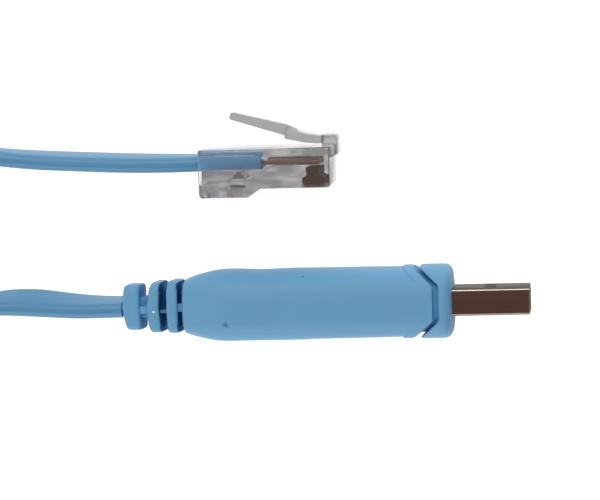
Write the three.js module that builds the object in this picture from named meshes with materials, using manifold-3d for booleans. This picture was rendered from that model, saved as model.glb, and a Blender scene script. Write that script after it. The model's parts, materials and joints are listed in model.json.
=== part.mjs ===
// Serial console cable: a USB-A plug with a ribbed moulding, and a clear modular plug, on one flat cord.
// Both plugs lie on a level floor on their narrow sides, and the cord's spare length is a tied hank.
// Millimetres, +Z up. The origin is under the middle of the two plugs, on the floor.
// In each plug's own frame +X runs to its tip, +Y across its thickness and +Z across its width.
import * as THREE from 'three';
import { mergeVertices } from 'three/addons/utils/BufferGeometryUtils.js';
import Module from 'manifold-3d';

const wasm = await Module();
wasm.setup();

// Clearances
const seatGap = 0.3;
const slotGap = 0.2;
const stripGap = 0.1;
const cutReach = 5;

// Flat cord
const cordWidth = 6.5;
const cordThickness = 2.6;
const cordStep = 5;

// USB moulding, from the front face at X = 0 back to the cord
const mouldingHalfThickness = 5.7;
const mouldingHalfWidth = 8.5;
const mouldingRoundness = 3.4;
const collarLength = 6;
const collarRise = 0.3;
const rimRound = 1.2;
const rimInsetThickness = 2;
const rimInsetWidth = 1.6;
const grooveWidth = 0.75;
const grooveDepth = 0.7;
const grooveX = -3.7;
const grooveSlant = 2.3;
const grooveFlatHalf = 2.9;
const landRise = 0.2;
const landLength = 3.5;
const labelFront = -9.7;
const labelLengthUpper = 17.6;
const labelLengthLower = 14.5;
const labelDepth = 0.35;
const bodyRear = -45;
const bodyRearThickness = 4.35;
const bodyRearWidth = 6.2;
const bodyRound = 5.8;

// Strain relief behind the body: three ribs with slots between them
const ribLengths = [1.8, 1.95, 2.7];
const slotLengths = [1.25, 1.3, 1.3];
const ribHalfThickness = [4.3, 4.12, 3.75];
const ribHalfWidth = [5.4, 5.2, 4.9];
const ribLean = 5.8;
const ribRoundness = 3;
const ribEdge = 0.35;
const slotCoreHalfThickness = 3.6;
const slotCoreHalfWidth = 2.6;
const neckHalfThickness = 1.75;
const neckHalfWidth = 3.7;
const webHalf = 0.55;
const webDrop = 0.3;
const webHalfWidth = 4.2;

// USB shell, tongue and contacts
const shellThickness = 4.5;
const shellWidth = 12;
const shellCorner = 0.6;
const shellWall = 0.3;
const shellShowing = 12.5;
const shellSeat = 3.7;
const latchHole = 2;
const latchHoleX = 5;
const latchHoleZ = 2.75;
const tongueThickness = 1.9;
const tongueBack = 0.5;
const usbContactWidth = 1;
const usbContactThickness = 0.2;
const usbContactLength = 9.3;
const usbContactFront = 1;
const usbContactZ = [-3.5, -1, 1, 3.5];

// Modular plug, from its rear face at X = 0, latch face at Y = 0 and far side at Z = 0
const plugLength = 21.9;
const plugWidth = 11.68;
const plugRearHeight = 8;
const plugFrontHeight = 6.55;
const rearChamfer = [0.3, 0.5];
const frontChamfer = 0.25;
const heelLength = 8.2;
const heelRamp = 2.1;
const noseHeight = 2;
const noseReach = 1.1;
const noseDrop = 1.3;
const noseSlope = 0.6;
const noseCorner = 0.5;

// Latch, with its outlines as [distance behind the root's centre, height over the latch face]
const latchWidth = 6.2;
const leverWidth = 3.25;
const rootSetback = 2.4;
const rootY = 1.25;
const rootRadius = 0.65;
const stripUnderside = [[5.2, 1.5], [1.8, 0.75]];
const stripTop = [[2.2, 2.3], [3.8, 3.0], [5.2, 3.15]];
const leverUnderside = [[14.6, 5.1], [14.4, 4.8], [5.2, 1.9], [3.5, 2.0], [2.9, 2.6]];
const leverTop = [[3.5, 3.05], [5.1, 3.75], [13.9, 5.95], [14.35, 5.9]];

// Cavity for the cord and its conductors, with its floor as [distance ahead of the heel's end, depth]
const sideWall = 1.1;
const roofWall = 0.8;
const cordInPlug = 10.3;
const cordInPlugDepth = 2.4;
const roofStep = 0.6;
const roofRamp = 1.8;
const channelRoof = 1.6;
const channelFloor = 3;
const channelSetback = 1.3;
const cavityFloor = [[2.96, 3.6], [1.36, 4.4], [-0.3, 5.3], [-3.6, 5.4]];
const channelFloorStart = 5.36;
const mouthDepth = 5.9;

// Crimp bar: its tip, waist and foot along the plug, and the window under it
const crimpTip = [6.2, 7.0];
const crimpWaist = [5.6, 7.4];
const crimpFoot = [5.0, 7.8];
const crimpWaistDepth = 4.6;
const crimpFootDepth = 6.4;
const crimpInset = 0.9;
const crimpWindow = [4.6, 7.2];
const crimpWindowDepth = 6.2;

// Blades and conductors
const bladeCount = 8;
const bladePitch = 1.02;
const bladeThickness = 0.3;
const bladeSetback = 1.2;
const bladeLength = 3.6;
const bladeFoot = 6.2;
const bladeHeel = 5.8;
const bladeShoulder = 5;
const bladeNeck = 4.5;
const bladeTop = 3.3;
const bladeChamfer = 0.4;
const bladeNeckInset = 0.8;
const bladeTopInset = [0.6, 0.7];
const wireDiameter = 0.86;
const wireDepth = 2.4;
const wireSetback = 0.6;

// Places on the floor
const usbPlace = [21.57, -12.27];
const usbTurn = 1.32;
const usbRoll = -3.5;
const plugPlace = [-20.89, 12.949];
const plugTurn = 1;

// Hank and its tie
const hankX = -85;
const hankY = -1.2;
const hankStraight = 73;
const hankOuter = 21;
const hankInner = 12.9;
const hankFloor = 0.95;
const hankLayers = 2;
const layerPitch = 6.6;
const tieWidth = 11;
const tieThickness = 0.6;
const tieCorner = 0.3;

const radians = (degrees) => (degrees * Math.PI) / 180;

const finishes = {
  mouldedBlue: new THREE.MeshStandardMaterial({ color: 0x6fa3c8, roughness: 0.5, metalness: 0 }),
  cordBlue: new THREE.MeshStandardMaterial({ color: 0x5a90bd, roughness: 0.45, metalness: 0 }),
  nickel: new THREE.MeshStandardMaterial({ color: 0x9a948e, roughness: 0.28, metalness: 1 }),
  gold: new THREE.MeshStandardMaterial({ color: 0xc9a04a, roughness: 0.3, metalness: 1 }),
  tongue: new THREE.MeshStandardMaterial({ color: 0xe8e8e4, roughness: 0.5, metalness: 0 }),
  clear: new THREE.MeshStandardMaterial({
    color: 0xc8c6c6, roughness: 0.12, metalness: 0, transparent: true, opacity: 0.35,
  }),
  tie: new THREE.MeshStandardMaterial({ color: 0x1c1d20, roughness: 0.85, metalness: 0 }),
};
const wireColours = {
  white: 0xe9e7e0,
  orange: 0xd2691e,
  black: 0x1d1b1a,
  red: 0xa8231c,
  green: 0x2f7a3a,
  yellow: 0xd9c032,
  blue: 0x2f5fa8,
  brown: 0x6b3d24,
};

// A closed geometry as a solid that can be joined and cut.
function solidOf(geometry) {
  const bare = geometry.clone();
  bare.deleteAttribute('normal');
  bare.deleteAttribute('uv');
  const merged = mergeVertices(bare, 1e-4);
  return new wasm.Manifold(new wasm.Mesh({
    numProp: 3,
    vertProperties: new Float32Array(merged.attributes.position.array),
    triVerts: new Uint32Array(merged.index.array),
  }));
}

// A joined or cut solid as a flat-shaded geometry.
function geometryOf(solid) {
  const mesh = solid.getMesh();
  const geometry = new THREE.BufferGeometry();
  geometry.setAttribute('position', new THREE.BufferAttribute(new Float32Array(mesh.vertProperties), 3));
  geometry.setIndex(new THREE.BufferAttribute(new Uint32Array(mesh.triVerts), 1));
  const flat = geometry.toNonIndexed();
  flat.computeVertexNormals();
  return flat;
}

function block(low, high) {
  const geometry = new THREE.BoxGeometry(high[0] - low[0], high[1] - low[1], high[2] - low[2]);
  geometry.translate((low[0] + high[0]) / 2, (low[1] + high[1]) / 2, (low[2] + high[2]) / 2);
  return solidOf(geometry);
}

// An XY outline carried up from one Z to another.
function prism(shape, bottom, top) {
  const geometry = new THREE.ExtrudeGeometry(shape, {
    depth: top - bottom, bevelEnabled: false, curveSegments: 8,
  });
  geometry.translate(0, 0, bottom);
  return geometry;
}

function polygon(corners) {
  return new THREE.Shape(corners.map(([x, y]) => new THREE.Vector2(x, y)));
}

// Turns a shape drawn across the plug into one that runs along it: its X, Y, Z become Y, Z, X.
function alongPlug(geometry) {
  return geometry.applyMatrix4(new THREE.Matrix4().set(0, 0, 1, 0, 1, 0, 0, 0, 0, 1, 0, 0, 0, 0, 0, 1));
}

// A moulded body: crowned sections at stations [x, half thickness, half width] from rear to front.
function crownedBody(stations, roundness, sides = 36) {
  const positions = [];
  const faces = [];
  const power = 2 / roundness;
  for (const [x, halfThickness, halfWidth] of stations) {
    for (let i = 0; i < sides; i += 1) {
      const angle = (2 * Math.PI * i) / sides;
      const across = Math.sign(Math.cos(angle)) * Math.abs(Math.cos(angle)) ** power;
      const up = Math.sign(Math.sin(angle)) * Math.abs(Math.sin(angle)) ** power;
      positions.push(x, halfThickness * across, halfWidth * up);
    }
  }
  for (let ring = 0; ring < stations.length - 1; ring += 1) {
    for (let i = 0; i < sides; i += 1) {
      const next = (i + 1) % sides;
      const a = ring * sides + i;
      const b = ring * sides + next;
      faces.push(a, b, b + sides, a, b + sides, a + sides);
    }
  }
  const last = (stations.length - 1) * sides;
  for (let i = 1; i < sides - 1; i += 1) {
    faces.push(0, i + 1, i);
    faces.push(last, last + i, last + i + 1);
  }
  const geometry = new THREE.BufferGeometry();
  geometry.setAttribute('position', new THREE.Float32BufferAttribute(positions, 3));
  geometry.setIndex(faces);
  return solidOf(geometry);
}

function named(name, geometry, material) {
  const mesh = new THREE.Mesh(geometry, material);
  mesh.name = name;
  return mesh;
}

// USB end

const collarHalfThickness = mouldingHalfThickness + collarRise;
const collarHalfWidth = mouldingHalfWidth + collarRise;

function mouldingBody() {
  const rise = mouldingHalfThickness - bodyRearThickness;
  const spread = mouldingHalfWidth - bodyRearWidth;
  const stations = [];
  const roundSteps = 6;
  for (let i = 0; i <= roundSteps; i += 1) {
    const along = i / roundSteps;
    const grow = Math.sin((along * Math.PI) / 2);
    stations.push([
      bodyRear + bodyRound * along,
      bodyRearThickness + rise * grow,
      bodyRearWidth + spread * grow,
    ]);
  }
  const landFront = -collarLength - grooveWidth / 2;
  stations.push([landFront - landLength - landRise, mouldingHalfThickness, mouldingHalfWidth]);
  stations.push([landFront - landLength, mouldingHalfThickness + landRise, mouldingHalfWidth + landRise]);
  stations.push([landFront - landRise, mouldingHalfThickness + landRise, mouldingHalfWidth + landRise]);
  stations.push([landFront, mouldingHalfThickness, mouldingHalfWidth]);
  stations.push([-grooveWidth, mouldingHalfThickness, mouldingHalfWidth]);
  return crownedBody(stations, mouldingRoundness);
}

function collar() {
  const stations = [[-collarLength, collarHalfThickness, collarHalfWidth]];
  const rimSteps = 4;
  for (let i = 0; i <= rimSteps; i += 1) {
    const turn = (i / rimSteps) * (Math.PI / 2);
    const inset = 1 - Math.cos(turn);
    stations.push([
      -rimRound * (1 - Math.sin(turn)),
      collarHalfThickness - rimInsetThickness * inset,
      collarHalfWidth - rimInsetWidth * inset,
    ]);
  }
  return crownedBody(stations, mouldingRoundness);
}

// The groove between collar and body: straight over the flat of each side, slanting back at the edges.
const grooveEdge = collarHalfThickness + cutReach;
const grooveSlope = grooveSlant / (mouldingHalfThickness - grooveFlatHalf);
const grooveEdgeX = grooveX - grooveSlope * (grooveEdge - grooveFlatHalf);

function collarGroove() {
  const outline = polygon([
    [grooveEdgeX, -grooveEdge], [grooveEdgeX + grooveWidth, -grooveEdge],
    [grooveX + grooveWidth, -grooveFlatHalf], [grooveX + grooveWidth, grooveFlatHalf],
    [grooveEdgeX + grooveWidth, grooveEdge], [grooveEdgeX, grooveEdge],
    [grooveX, grooveFlatHalf], [grooveX, -grooveFlatHalf],
  ]);
  const reach = collarHalfWidth + cutReach;
  const band = solidOf(prism(outline, -reach, reach));
  const core = crownedBody([
    [grooveEdgeX - cutReach, mouldingHalfThickness - grooveDepth, mouldingHalfWidth - grooveDepth],
    [cutReach, mouldingHalfThickness - grooveDepth, mouldingHalfWidth - grooveDepth],
  ], mouldingRoundness);
  return band.subtract(core);
}

// What lies behind the slanting groove belongs to the body, and what lies before it to the collar.
function collarSide() {
  const outline = polygon([
    [grooveEdgeX, -grooveEdge], [cutReach, -grooveEdge], [cutReach, grooveEdge],
    [grooveEdgeX, grooveEdge], [grooveX, grooveFlatHalf], [grooveX, -grooveFlatHalf],
  ]);
  const reach = collarHalfWidth + cutReach;
  return solidOf(prism(outline, -reach, reach));
}

function strainRelief() {
  let x = bodyRear;
  let relief = null;
  ribLengths.forEach((length, i) => {
    const slot = slotLengths[i];
    const joinedX = x;
    const front = x - slot;
    const rear = front - length;
    const halfThickness = ribHalfThickness[i];
    const halfWidth = ribHalfWidth[i];
    let rib = crownedBody([
      [rear, halfThickness - ribEdge, halfWidth - ribEdge],
      [rear + ribEdge, halfThickness, halfWidth],
      [front - ribEdge, halfThickness, halfWidth],
      [front, halfThickness - ribEdge, halfWidth - ribEdge],
    ], ribRoundness);
    const lastRib = i === ribLengths.length - 1;
    if (lastRib) {
      const middle = (rear + front) / 2;
      const lean = new THREE.Matrix4().makeTranslation(middle, 0, 0)
        .multiply(new THREE.Matrix4().makeRotationZ(radians(ribLean)))
        .multiply(new THREE.Matrix4().makeTranslation(-middle, 0, 0));
      rib = rib.transform(lean.elements);
    }
    const core = lastRib
      ? crownedBody([[rear + ribEdge, neckHalfThickness, neckHalfWidth],
        [joinedX + seatGap, neckHalfThickness, neckHalfWidth]], ribRoundness)
      : crownedBody([[front - seatGap, slotCoreHalfThickness, slotCoreHalfWidth],
        [joinedX + seatGap, slotCoreHalfThickness, slotCoreHalfWidth]], ribRoundness);
    const web = block(
      [front - seatGap, -webDrop - webHalf, -webHalfWidth],
      [joinedX + seatGap, -webDrop + webHalf, webHalfWidth],
    );
    const joined = rib.add(core).add(web);
    relief = relief ? relief.add(joined) : joined;
    x = rear;
  });
  return relief;
}

const labelFloor = mouldingHalfThickness - labelDepth;
const pocketHalfThickness = shellThickness / 2 + seatGap;
const pocketHalfWidth = shellWidth / 2 + seatGap;

function usbMoulding() {
  const front = collar().intersect(collarSide());
  const label = (side, length) => {
    const low = Math.min(side * labelFloor, side * (labelFloor + cutReach));
    const high = Math.max(side * labelFloor, side * (labelFloor + cutReach));
    return block([labelFront - length, low, -mouldingHalfWidth], [labelFront, high, mouldingHalfWidth]);
  };
  const pocket = block(
    [-shellSeat - seatGap, -pocketHalfThickness, -pocketHalfWidth],
    [cutReach, pocketHalfThickness, pocketHalfWidth],
  );
  return mouldingBody()
    .subtract(label(1, labelLengthUpper))
    .subtract(label(-1, labelLengthLower))
    .add(front)
    .subtract(collarGroove())
    .add(strainRelief())
    .subtract(pocket);
}

function roundedRectangle(halfX, halfY, radius) {
  const shape = new THREE.Shape();
  shape.absarc(halfX - radius, halfY - radius, radius, 0, Math.PI / 2);
  shape.absarc(-halfX + radius, halfY - radius, radius, Math.PI / 2, Math.PI);
  shape.absarc(-halfX + radius, -halfY + radius, radius, Math.PI, Math.PI * 1.5);
  shape.absarc(halfX - radius, -halfY + radius, radius, Math.PI * 1.5, Math.PI * 2);
  shape.closePath();
  return shape;
}

function usbShell() {
  const outline = roundedRectangle(shellThickness / 2, shellWidth / 2, shellCorner);
  outline.holes.push(roundedRectangle(
    shellThickness / 2 - shellWall, shellWidth / 2 - shellWall, shellCorner - shellWall / 2,
  ));
  const tube = alongPlug(new THREE.ExtrudeGeometry(outline, {
    depth: shellShowing + shellSeat, bevelEnabled: false, curveSegments: 4,
  }));
  tube.translate(-shellSeat, 0, 0);
  let shell = solidOf(tube);
  for (const side of [-1, 1]) {
    shell = shell.subtract(block(
      [latchHoleX, -shellThickness, side * latchHoleZ - latchHole / 2],
      [latchHoleX + latchHole, shellThickness, side * latchHoleZ + latchHole / 2],
    ));
  }
  return shell;
}

const tongueFloor = -shellThickness / 2 + shellWall + slotGap;
const tongueTop = tongueFloor + tongueThickness;
const contactGroove = usbContactThickness + stripGap;
const contactRear = shellShowing - usbContactFront - usbContactLength;

function usbTongue() {
  const halfWidth = shellWidth / 2 - shellWall - seatGap;
  let tongue = block([-shellSeat + seatGap, tongueFloor, -halfWidth],
    [shellShowing - tongueBack, tongueTop, halfWidth]);
  for (const z of usbContactZ) {
    const half = usbContactWidth / 2 + stripGap;
    tongue = tongue.subtract(block(
      [contactRear - stripGap, tongueTop - contactGroove, z - half],
      [contactRear + usbContactLength + stripGap, tongueTop + cutReach, z + half],
    ));
  }
  return tongue;
}

function usbContact(z) {
  return block(
    [contactRear, tongueTop - usbContactThickness, z - usbContactWidth / 2],
    [contactRear + usbContactLength, tongueTop, z + usbContactWidth / 2],
  );
}

const usbEnd = new THREE.Group();
usbEnd.add(named('usb_moulding', geometryOf(usbMoulding()), finishes.mouldedBlue));
usbEnd.add(named('usb_shell', geometryOf(usbShell()), finishes.nickel));
usbEnd.add(named('usb_tongue', geometryOf(usbTongue()), finishes.tongue));
usbContactZ.forEach((z, i) => {
  usbEnd.add(named(`usb_contact_${i + 1}`, geometryOf(usbContact(z)), finishes.gold));
});

// Modular plug end

const plugMiddle = plugWidth / 2;
const bladeZ = (i) => plugMiddle + (i - (bladeCount - 1) / 2) * bladePitch;
const rootX = plugLength - rootSetback;
const noseBack = rootX + rootRadius + seatGap;
const noseFront = plugLength + noseReach;
const channelFront = plugLength - channelSetback;
const wireFront = channelFront - wireSetback;
const bladeFront = plugLength - bladeSetback;
const bladeRear = bladeFront - bladeLength;

function plugCavity() {
  const roofStart = cordInPlug - roofStep;
  const outline = polygon([
    [-cutReach, -roofWall], [roofStart, -roofWall], [roofStart + roofRamp, -channelRoof],
    [channelFront, -channelRoof], [channelFront, -channelFloor],
    [heelLength + channelFloorStart, -channelFloor],
    ...cavityFloor.map(([ahead, depth]) => [heelLength + ahead, -depth]),
    [0, -mouthDepth], [-cutReach, -mouthDepth],
  ]);
  return solidOf(prism(outline, sideWall, plugWidth - sideWall));
}

// The bar that the crimping tool pushes up against the cord, and its window in the plug's underside.
const crimpSide = sideWall + crimpInset;

function crimpBar() {
  const tipDepth = cordInPlugDepth + cordThickness / 2 + seatGap;
  const outline = polygon([
    [crimpFoot[0], -crimpFootDepth], [crimpFoot[1], -crimpFootDepth], [crimpWaist[1], -crimpWaistDepth],
    [crimpTip[1], -tipDepth], [crimpTip[0], -tipDepth], [crimpWaist[0], -crimpWaistDepth],
  ]);
  return solidOf(prism(outline, crimpSide, plugWidth - crimpSide));
}

function crimpWindowCut(side) {
  return block([crimpWindow[0], -plugRearHeight - cutReach, side],
    [crimpWindow[1], -crimpWindowDepth, plugWidth - side]);
}

function plugBody() {
  const side = polygon([
    [0, 0], [0, -plugRearHeight + rearChamfer[1]], [rearChamfer[0], -plugRearHeight],
    [heelLength, -plugRearHeight], [heelLength + heelRamp, -plugFrontHeight],
    [plugLength - frontChamfer, -plugFrontHeight], [plugLength, -plugFrontHeight + frontChamfer],
    [plugLength, 0],
  ]);
  const nose = polygon([
    [noseBack, -noseDrop], [plugLength, -noseDrop - noseSlope], [noseFront, -noseDrop],
    [noseFront, noseHeight - noseCorner], [noseFront - noseCorner, noseHeight], [noseBack, noseHeight],
  ]);
  let body = solidOf(prism(side, 0, plugWidth));
  body = body.subtract(plugCavity());
  body = body.add(solidOf(prism(nose, plugMiddle - latchWidth / 2, plugMiddle + latchWidth / 2)));
  body = body.subtract(crimpWindowCut(crimpSide));
  body = body.add(crimpBar().subtract(crimpWindowCut(0)));
  for (let i = 0; i < bladeCount; i += 1) {
    const half = bladeThickness / 2 + slotGap;
    body = body.subtract(block(
      [bladeRear - slotGap, -plugFrontHeight - cutReach, bladeZ(i) - half],
      [bladeFront + slotGap, -channelFloor + stripGap, bladeZ(i) + half],
    ));
  }
  return body;
}

// The latch: a narrow lever, wider shoulders that catch in the socket, and a thin strip to its root.
function plugLatch() {
  const behindRoot = ([back, height]) => [rootX - back, height];
  const strip = new THREE.Shape();
  strip.moveTo(...behindRoot(stripUnderside[0]));
  stripUnderside.slice(1).forEach((corner) => strip.lineTo(...behindRoot(corner)));
  strip.lineTo(rootX, rootY - rootRadius);
  strip.absarc(rootX, rootY, rootRadius, -Math.PI / 2, Math.PI / 2);
  stripTop.forEach((corner) => strip.lineTo(...behindRoot(corner)));
  const lever = polygon([...leverUnderside, ...leverTop].map(behindRoot));
  const wide = solidOf(prism(strip, plugMiddle - latchWidth / 2, plugMiddle + latchWidth / 2));
  const narrow = solidOf(prism(lever, plugMiddle - leverWidth / 2, plugMiddle + leverWidth / 2));
  return wide.add(narrow);
}

function blade(z) {
  const rear = bladeRear;
  const front = bladeFront;
  const outline = polygon([
    [rear, -bladeShoulder], [rear, -bladeHeel], [rear + bladeChamfer, -bladeFoot],
    [front - bladeChamfer, -bladeFoot], [front, -bladeHeel], [front, -bladeShoulder],
    [front - bladeNeckInset, -bladeNeck], [front - bladeTopInset[1], -bladeTop],
    [rear + bladeTopInset[0], -bladeTop], [rear + bladeNeckInset, -bladeNeck],
  ]);
  return prism(outline, z - bladeThickness / 2, z + bladeThickness / 2);
}

function conductor(z) {
  const length = wireFront - cordInPlug - seatGap;
  const wire = new THREE.CylinderGeometry(wireDiameter / 2, wireDiameter / 2, length, 10);
  wire.rotateZ(Math.PI / 2);
  wire.translate(cordInPlug + seatGap + length / 2, -wireDepth, z);
  return wire;
}

const plugEnd = new THREE.Group();
plugEnd.add(named('rj45_body', geometryOf(plugBody()), finishes.clear));
plugEnd.add(named('rj45_latch', geometryOf(plugLatch()), finishes.clear));
for (let i = 0; i < bladeCount; i += 1) {
  plugEnd.add(named(`rj45_contact_${i + 1}`, blade(bladeZ(i)), finishes.gold));
}
Object.entries(wireColours).forEach(([colour, hex], i) => {
  const sleeve = new THREE.MeshStandardMaterial({ color: hex, roughness: 0.45, metalness: 0 });
  plugEnd.add(named(`conductor_${colour}`, conductor(bladeZ(i)), sleeve));
});

// The plugs on the floor, with the middle of their box over the origin

usbEnd.rotation.set(radians(usbRoll), 0, radians(usbTurn), 'ZYX');
usbEnd.position.set(usbPlace[0], usbPlace[1], 0);
plugEnd.rotation.z = radians(plugTurn);
plugEnd.position.set(plugPlace[0], plugPlace[1], 0);

const plugs = new THREE.Group();
plugs.add(usbEnd, plugEnd);
usbEnd.position.z -= new THREE.Box3().setFromObject(usbEnd, true).min.z;
const plugsBox = new THREE.Box3().setFromObject(plugs, true);
plugs.position.x -= (plugsBox.min.x + plugsBox.max.x) / 2;
plugs.position.y -= (plugsBox.min.y + plugsBox.max.y) / 2;

// Cord: route points [x, y, z, lean], where lean is how far its upper edge tips towards -Y, in degrees

const modularRoute = [
  [-10.56, 10.73, 5.84, 0], [-15.8, 10.64, 5.84, 0], [-20.86, 10.55, 5.84, 2], [-27, 10.47, 5.75, 5],
  [-34, 10.5, 5.3, 7], [-42, 10.7, 4.6, 7], [-50, 11, 4.05, 6], [-57, 11.6, 3.9, 3],
  [-62, 12.6, 3.95, 1], [-66, 13.9, 4.0, 0],
];
const usbRoute = [
  [-34.15, -13.56, 8.84, 8], [-38, -13.62, 8.78, 11], [-42, -13.55, 8.6, 16], [-46, -13.3, 8.35, 21],
  [-50, -13.05, 8.05, 25], [-55, -13.1, 7.8, 20], [-60, -13.85, 7.85, 9], [-65.2, -15.45, 8.15, 2],
];

function cordSection() {
  const shape = new THREE.Shape();
  const radius = cordThickness / 2;
  const straight = cordWidth / 2 - radius;
  const points = [];
  const arcSteps = 4;
  for (let i = 0; i <= arcSteps; i += 1) {
    const angle = (Math.PI * i) / arcSteps;
    points.push(new THREE.Vector2(radius * Math.cos(angle), straight + radius * Math.sin(angle)));
  }
  for (let i = 0; i <= arcSteps; i += 1) {
    const angle = Math.PI + (Math.PI * i) / arcSteps;
    points.push(new THREE.Vector2(radius * Math.cos(angle), -straight + radius * Math.sin(angle)));
  }
  shape.setFromPoints(points);
  return shape;
}

// A straight extrusion of the flat section, bent along the route with its width kept upright.
function flatCord(route) {
  const points = route.map(([x, y, z]) => new THREE.Vector3(x, y, z));
  const curve = new THREE.CatmullRomCurve3(points, false, 'centripetal');
  const steps = Math.ceil(curve.getLength() / cordStep);
  const geometry = new THREE.ExtrudeGeometry(cordSection(), { depth: 1, steps, bevelEnabled: false });
  const position = geometry.attributes.position;
  for (let i = 0; i < position.count; i += 1) {
    const along = THREE.MathUtils.clamp(position.getZ(i), 0, 1);
    const centre = curve.getPoint(along);
    const heading = curve.getTangent(along);
    const spot = along * (route.length - 1);
    const before = Math.min(Math.floor(spot), route.length - 2);
    const lean = radians(THREE.MathUtils.lerp(route[before][3], route[before + 1][3], spot - before));
    const upright = new THREE.Vector3(0, -Math.sin(lean), Math.cos(lean));
    upright.addScaledVector(heading, -upright.dot(heading)).normalize();
    const across = upright.clone().cross(heading);
    centre.addScaledVector(across, position.getX(i)).addScaledVector(upright, position.getY(i));
    position.setXYZ(i, centre.x, centre.y, centre.z);
  }
  geometry.computeVertexNormals();
  return geometry;
}

function stadium(radius) {
  const shape = new THREE.Shape();
  shape.absarc(hankX, hankY, radius, -Math.PI / 2, Math.PI / 2);
  shape.absarc(hankX - hankStraight, hankY, radius, Math.PI / 2, Math.PI * 1.5);
  shape.closePath();
  return shape;
}

const hankHeight = cordWidth + (hankLayers - 1) * layerPitch;
const hankEdge = hankOuter + cordThickness / 2;

function hank() {
  const outline = stadium(hankEdge);
  outline.holes.push(stadium(hankInner - cordThickness / 2));
  return prism(outline, hankFloor, hankFloor + hankHeight);
}

// A strap around the waist of the hank.
function hankTie() {
  const halfY = hankEdge + seatGap;
  const halfZ = hankHeight / 2 + seatGap;
  const outline = roundedRectangle(halfY + tieThickness, halfZ + tieThickness, tieCorner + tieThickness);
  outline.holes.push(roundedRectangle(halfY, halfZ, tieCorner));
  const strap = alongPlug(new THREE.ExtrudeGeometry(outline, {
    depth: tieWidth, bevelEnabled: false, curveSegments: 4,
  }));
  strap.translate(hankX - hankStraight / 2 - tieWidth / 2, hankY, hankFloor + hankHeight / 2);
  return strap;
}

const cable = new THREE.Group();
cable.add(plugs);
cable.add(named('cord_rj45_end', flatCord(modularRoute), finishes.cordBlue));
cable.add(named('cord_usb_end', flatCord(usbRoute), finishes.cordBlue));
cable.add(named('cord_hank', hank(), finishes.cordBlue));
cable.add(named('hank_tie', hankTie(), finishes.tie));

export default cable;
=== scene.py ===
"""Serial console cable: its looks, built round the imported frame.

A flat light-blue cord joins a USB-A plug in a ribbed moulding to a clear modular plug.
Shapes are drawn in millimetres and turned to metres when a piece is placed.
In each plug's own frame +X runs to its tip, +Y across its thickness and +Z across its width.
"""
import json
import math

import bmesh
import bpy
from mathutils import Matrix, Vector


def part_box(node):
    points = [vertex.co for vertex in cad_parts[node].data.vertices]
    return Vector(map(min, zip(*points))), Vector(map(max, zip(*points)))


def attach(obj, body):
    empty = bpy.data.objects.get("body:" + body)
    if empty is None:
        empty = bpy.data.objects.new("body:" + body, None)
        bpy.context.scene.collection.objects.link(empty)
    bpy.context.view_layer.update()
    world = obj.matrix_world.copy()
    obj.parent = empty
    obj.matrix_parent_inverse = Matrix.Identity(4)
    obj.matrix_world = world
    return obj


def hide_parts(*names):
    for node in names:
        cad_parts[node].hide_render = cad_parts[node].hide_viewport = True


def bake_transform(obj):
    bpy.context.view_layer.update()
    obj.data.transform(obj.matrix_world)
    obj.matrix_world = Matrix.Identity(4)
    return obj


bl_info = {
    "name": "Console cable",
    "version": (1, 0, 0),
    "blender": (4, 5, 0),
    "location": "3D View > Sidebar > Console cable",
    "description": "Builds a flat serial cable with a USB-A plug and a clear modular plug",
    "category": "Add Mesh",
}

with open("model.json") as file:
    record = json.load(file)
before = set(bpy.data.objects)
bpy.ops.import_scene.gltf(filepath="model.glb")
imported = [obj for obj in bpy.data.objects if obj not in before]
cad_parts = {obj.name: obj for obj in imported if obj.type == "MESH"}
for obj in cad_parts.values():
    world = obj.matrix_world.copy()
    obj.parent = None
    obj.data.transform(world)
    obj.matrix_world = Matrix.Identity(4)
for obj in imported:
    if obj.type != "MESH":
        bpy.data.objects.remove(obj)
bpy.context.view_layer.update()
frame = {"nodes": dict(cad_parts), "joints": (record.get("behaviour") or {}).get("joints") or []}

MM = 0.001
# How far a cutter reaches past what it cuts
CUT = 1
BEVEL_ANGLE = 30
CORNER_STEPS = 8

# Camera: where it stands and the floor point in the middle of its view
CAMERA_PLACE = (39.1, 40.2, 400)
LOOK_AT = (-5.24, -4.93, 0)
CAMERA_LENS = 142.2
CAMERA_ROLL = -0.7

# How the two plugs are turned on the floor, in degrees
USB_TURN = 1.32
USB_ROLL = -3.5
PLUG_TURN = 1

# Cord: route points are x, y, z and how far the upper edge leans towards -Y, in degrees
MODULAR_ROUTE = [
    (-10.56, 10.73, 5.84, 0), (-15.8, 10.64, 5.84, 0), (-20.86, 10.55, 5.84, 2), (-27, 10.47, 5.75, 5),
    (-34, 10.5, 5.3, 7), (-42, 10.7, 4.6, 7), (-50, 11, 4.05, 6), (-57, 11.6, 3.9, 3),
    (-62, 12.6, 3.95, 1), (-66, 13.9, 4.0, 0), (-71, 15.9, 4.1, 0), (-78, 18.6, 4.2, 0),
]
USB_ROUTE = [
    (-34.15, -13.56, 8.84, 8), (-38, -13.62, 8.78, 11), (-42, -13.55, 8.6, 16), (-46, -13.3, 8.35, 21),
    (-50, -13.05, 8.05, 25), (-55, -13.1, 7.8, 20), (-60, -13.85, 7.85, 9), (-65.2, -15.45, 8.15, 2),
    (-70, -17.6, 8.8, 0), (-77, -20.6, 9.9, 0),
]
ROUTE_STEPS = 6
CORD_SIDES = 28
JACKET_GRAIN = 0.3
# At a cut end: the share of the section that is left, and how far it stands out
CORD_END = (0.82, 0.12)
# In the modular plug's frame the jacket lies above this Y, and all the other runs of cord below it
JACKET_LOWEST = -5

# Hank: turns wound inwards in the lower layer and outwards in the upper one
HANK_TURNS = 7
TURN_STEP = 1.35
LAYER_HEIGHTS = (4.2, 10.8)
CLIMB_TUCK = 1.6
RUN_SHARE = 0.62
RUN_STEPS = 8
BEND_STEPS = 16

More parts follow.
